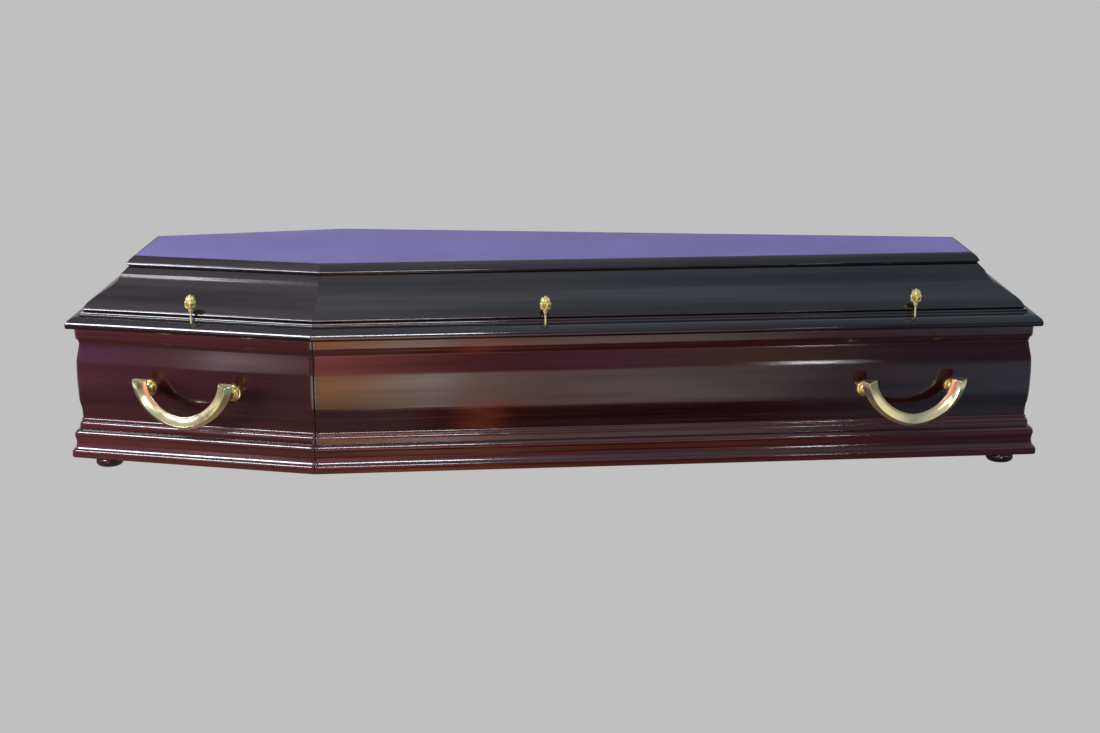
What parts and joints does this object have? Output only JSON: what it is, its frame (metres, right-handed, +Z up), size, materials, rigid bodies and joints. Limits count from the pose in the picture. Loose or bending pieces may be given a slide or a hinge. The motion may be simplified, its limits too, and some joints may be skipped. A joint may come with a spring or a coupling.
{
  "type": "wooden coffin",
  "caption": "Closed shouldered wooden coffin with moulded plinth, raised lid, flat cloth-covered top panel, bow handles, lid screws and bun feet.",
  "frame": {"origin": "centre of the bounding box on the plane that the bun feet stand on", "axes": "+X runs from the head end to the foot end, +Z is up, the right side of someone lying in it faces -Y"},
  "size_m": [1.98, 0.69, 0.4232],
  "materials": {
    "mahogany_lacquer": "high gloss dark mahogany lacquer",
    "foot_lacquer": "glossy near-black brown lacquer",
    "brass": "polished pale gold",
    "violet_cloth": "taut matt violet cloth"
  },
  "bodies": {
    "root": {"plinth_right_shoulder": "mahogany_lacquer", "plinth_right_flank": "mahogany_lacquer", "plinth_foot": "mahogany_lacquer", "plinth_left_flank": "mahogany_lacquer", "plinth_left_shoulder": "mahogany_lacquer", "plinth_head": "mahogany_lacquer", "side_board_right_shoulder": "mahogany_lacquer", "side_board_right_flank": "mahogany_lacquer", "side_board_foot": "mahogany_lacquer", "side_board_left_flank": "mahogany_lacquer", "side_board_left_shoulder": "mahogany_lacquer", "side_board_head": "mahogany_lacquer", "base_board": "mahogany_lacquer", "bun_foot_right_head": "foot_lacquer", "bun_foot_right_foot": "foot_lacquer", "bun_foot_left_head": "foot_lacquer", "bun_foot_left_foot": "foot_lacquer", "handle_right_head": "brass", "handle_right_foot": "brass", "handle_left_head": "brass", "handle_left_foot": "brass", "lid_flange_right_shoulder": "mahogany_lacquer", "lid_flange_right_flank": "mahogany_lacquer", "lid_flange_foot": "mahogany_lacquer", "lid_flange_left_flank": "mahogany_lacquer", "lid_flange_left_shoulder": "mahogany_lacquer", "lid_flange_head": "mahogany_lacquer", "lid_slope_right_shoulder": "mahogany_lacquer", "lid_slope_right_flank": "mahogany_lacquer", "lid_slope_foot": "mahogany_lacquer", "lid_slope_left_flank": "mahogany_lacquer", "lid_slope_left_shoulder": "mahogany_lacquer", "lid_slope_head": "mahogany_lacquer", "lid_frame_right_shoulder": "mahogany_lacquer", "lid_frame_right_flank": "mahogany_lacquer", "lid_frame_foot": "mahogany_lacquer", "lid_frame_left_flank": "mahogany_lacquer", "lid_frame_left_shoulder": "mahogany_lacquer", "lid_frame_head": "mahogany_lacquer", "lid_panel": "violet_cloth", "lid_screw_right_head": "brass", "lid_screw_right_middle": "brass", "lid_screw_right_foot": "brass", "lid_screw_left_head": "brass", "lid_screw_left_middle": "brass", "lid_screw_left_foot": "brass"}
  },
  "joints": []
}
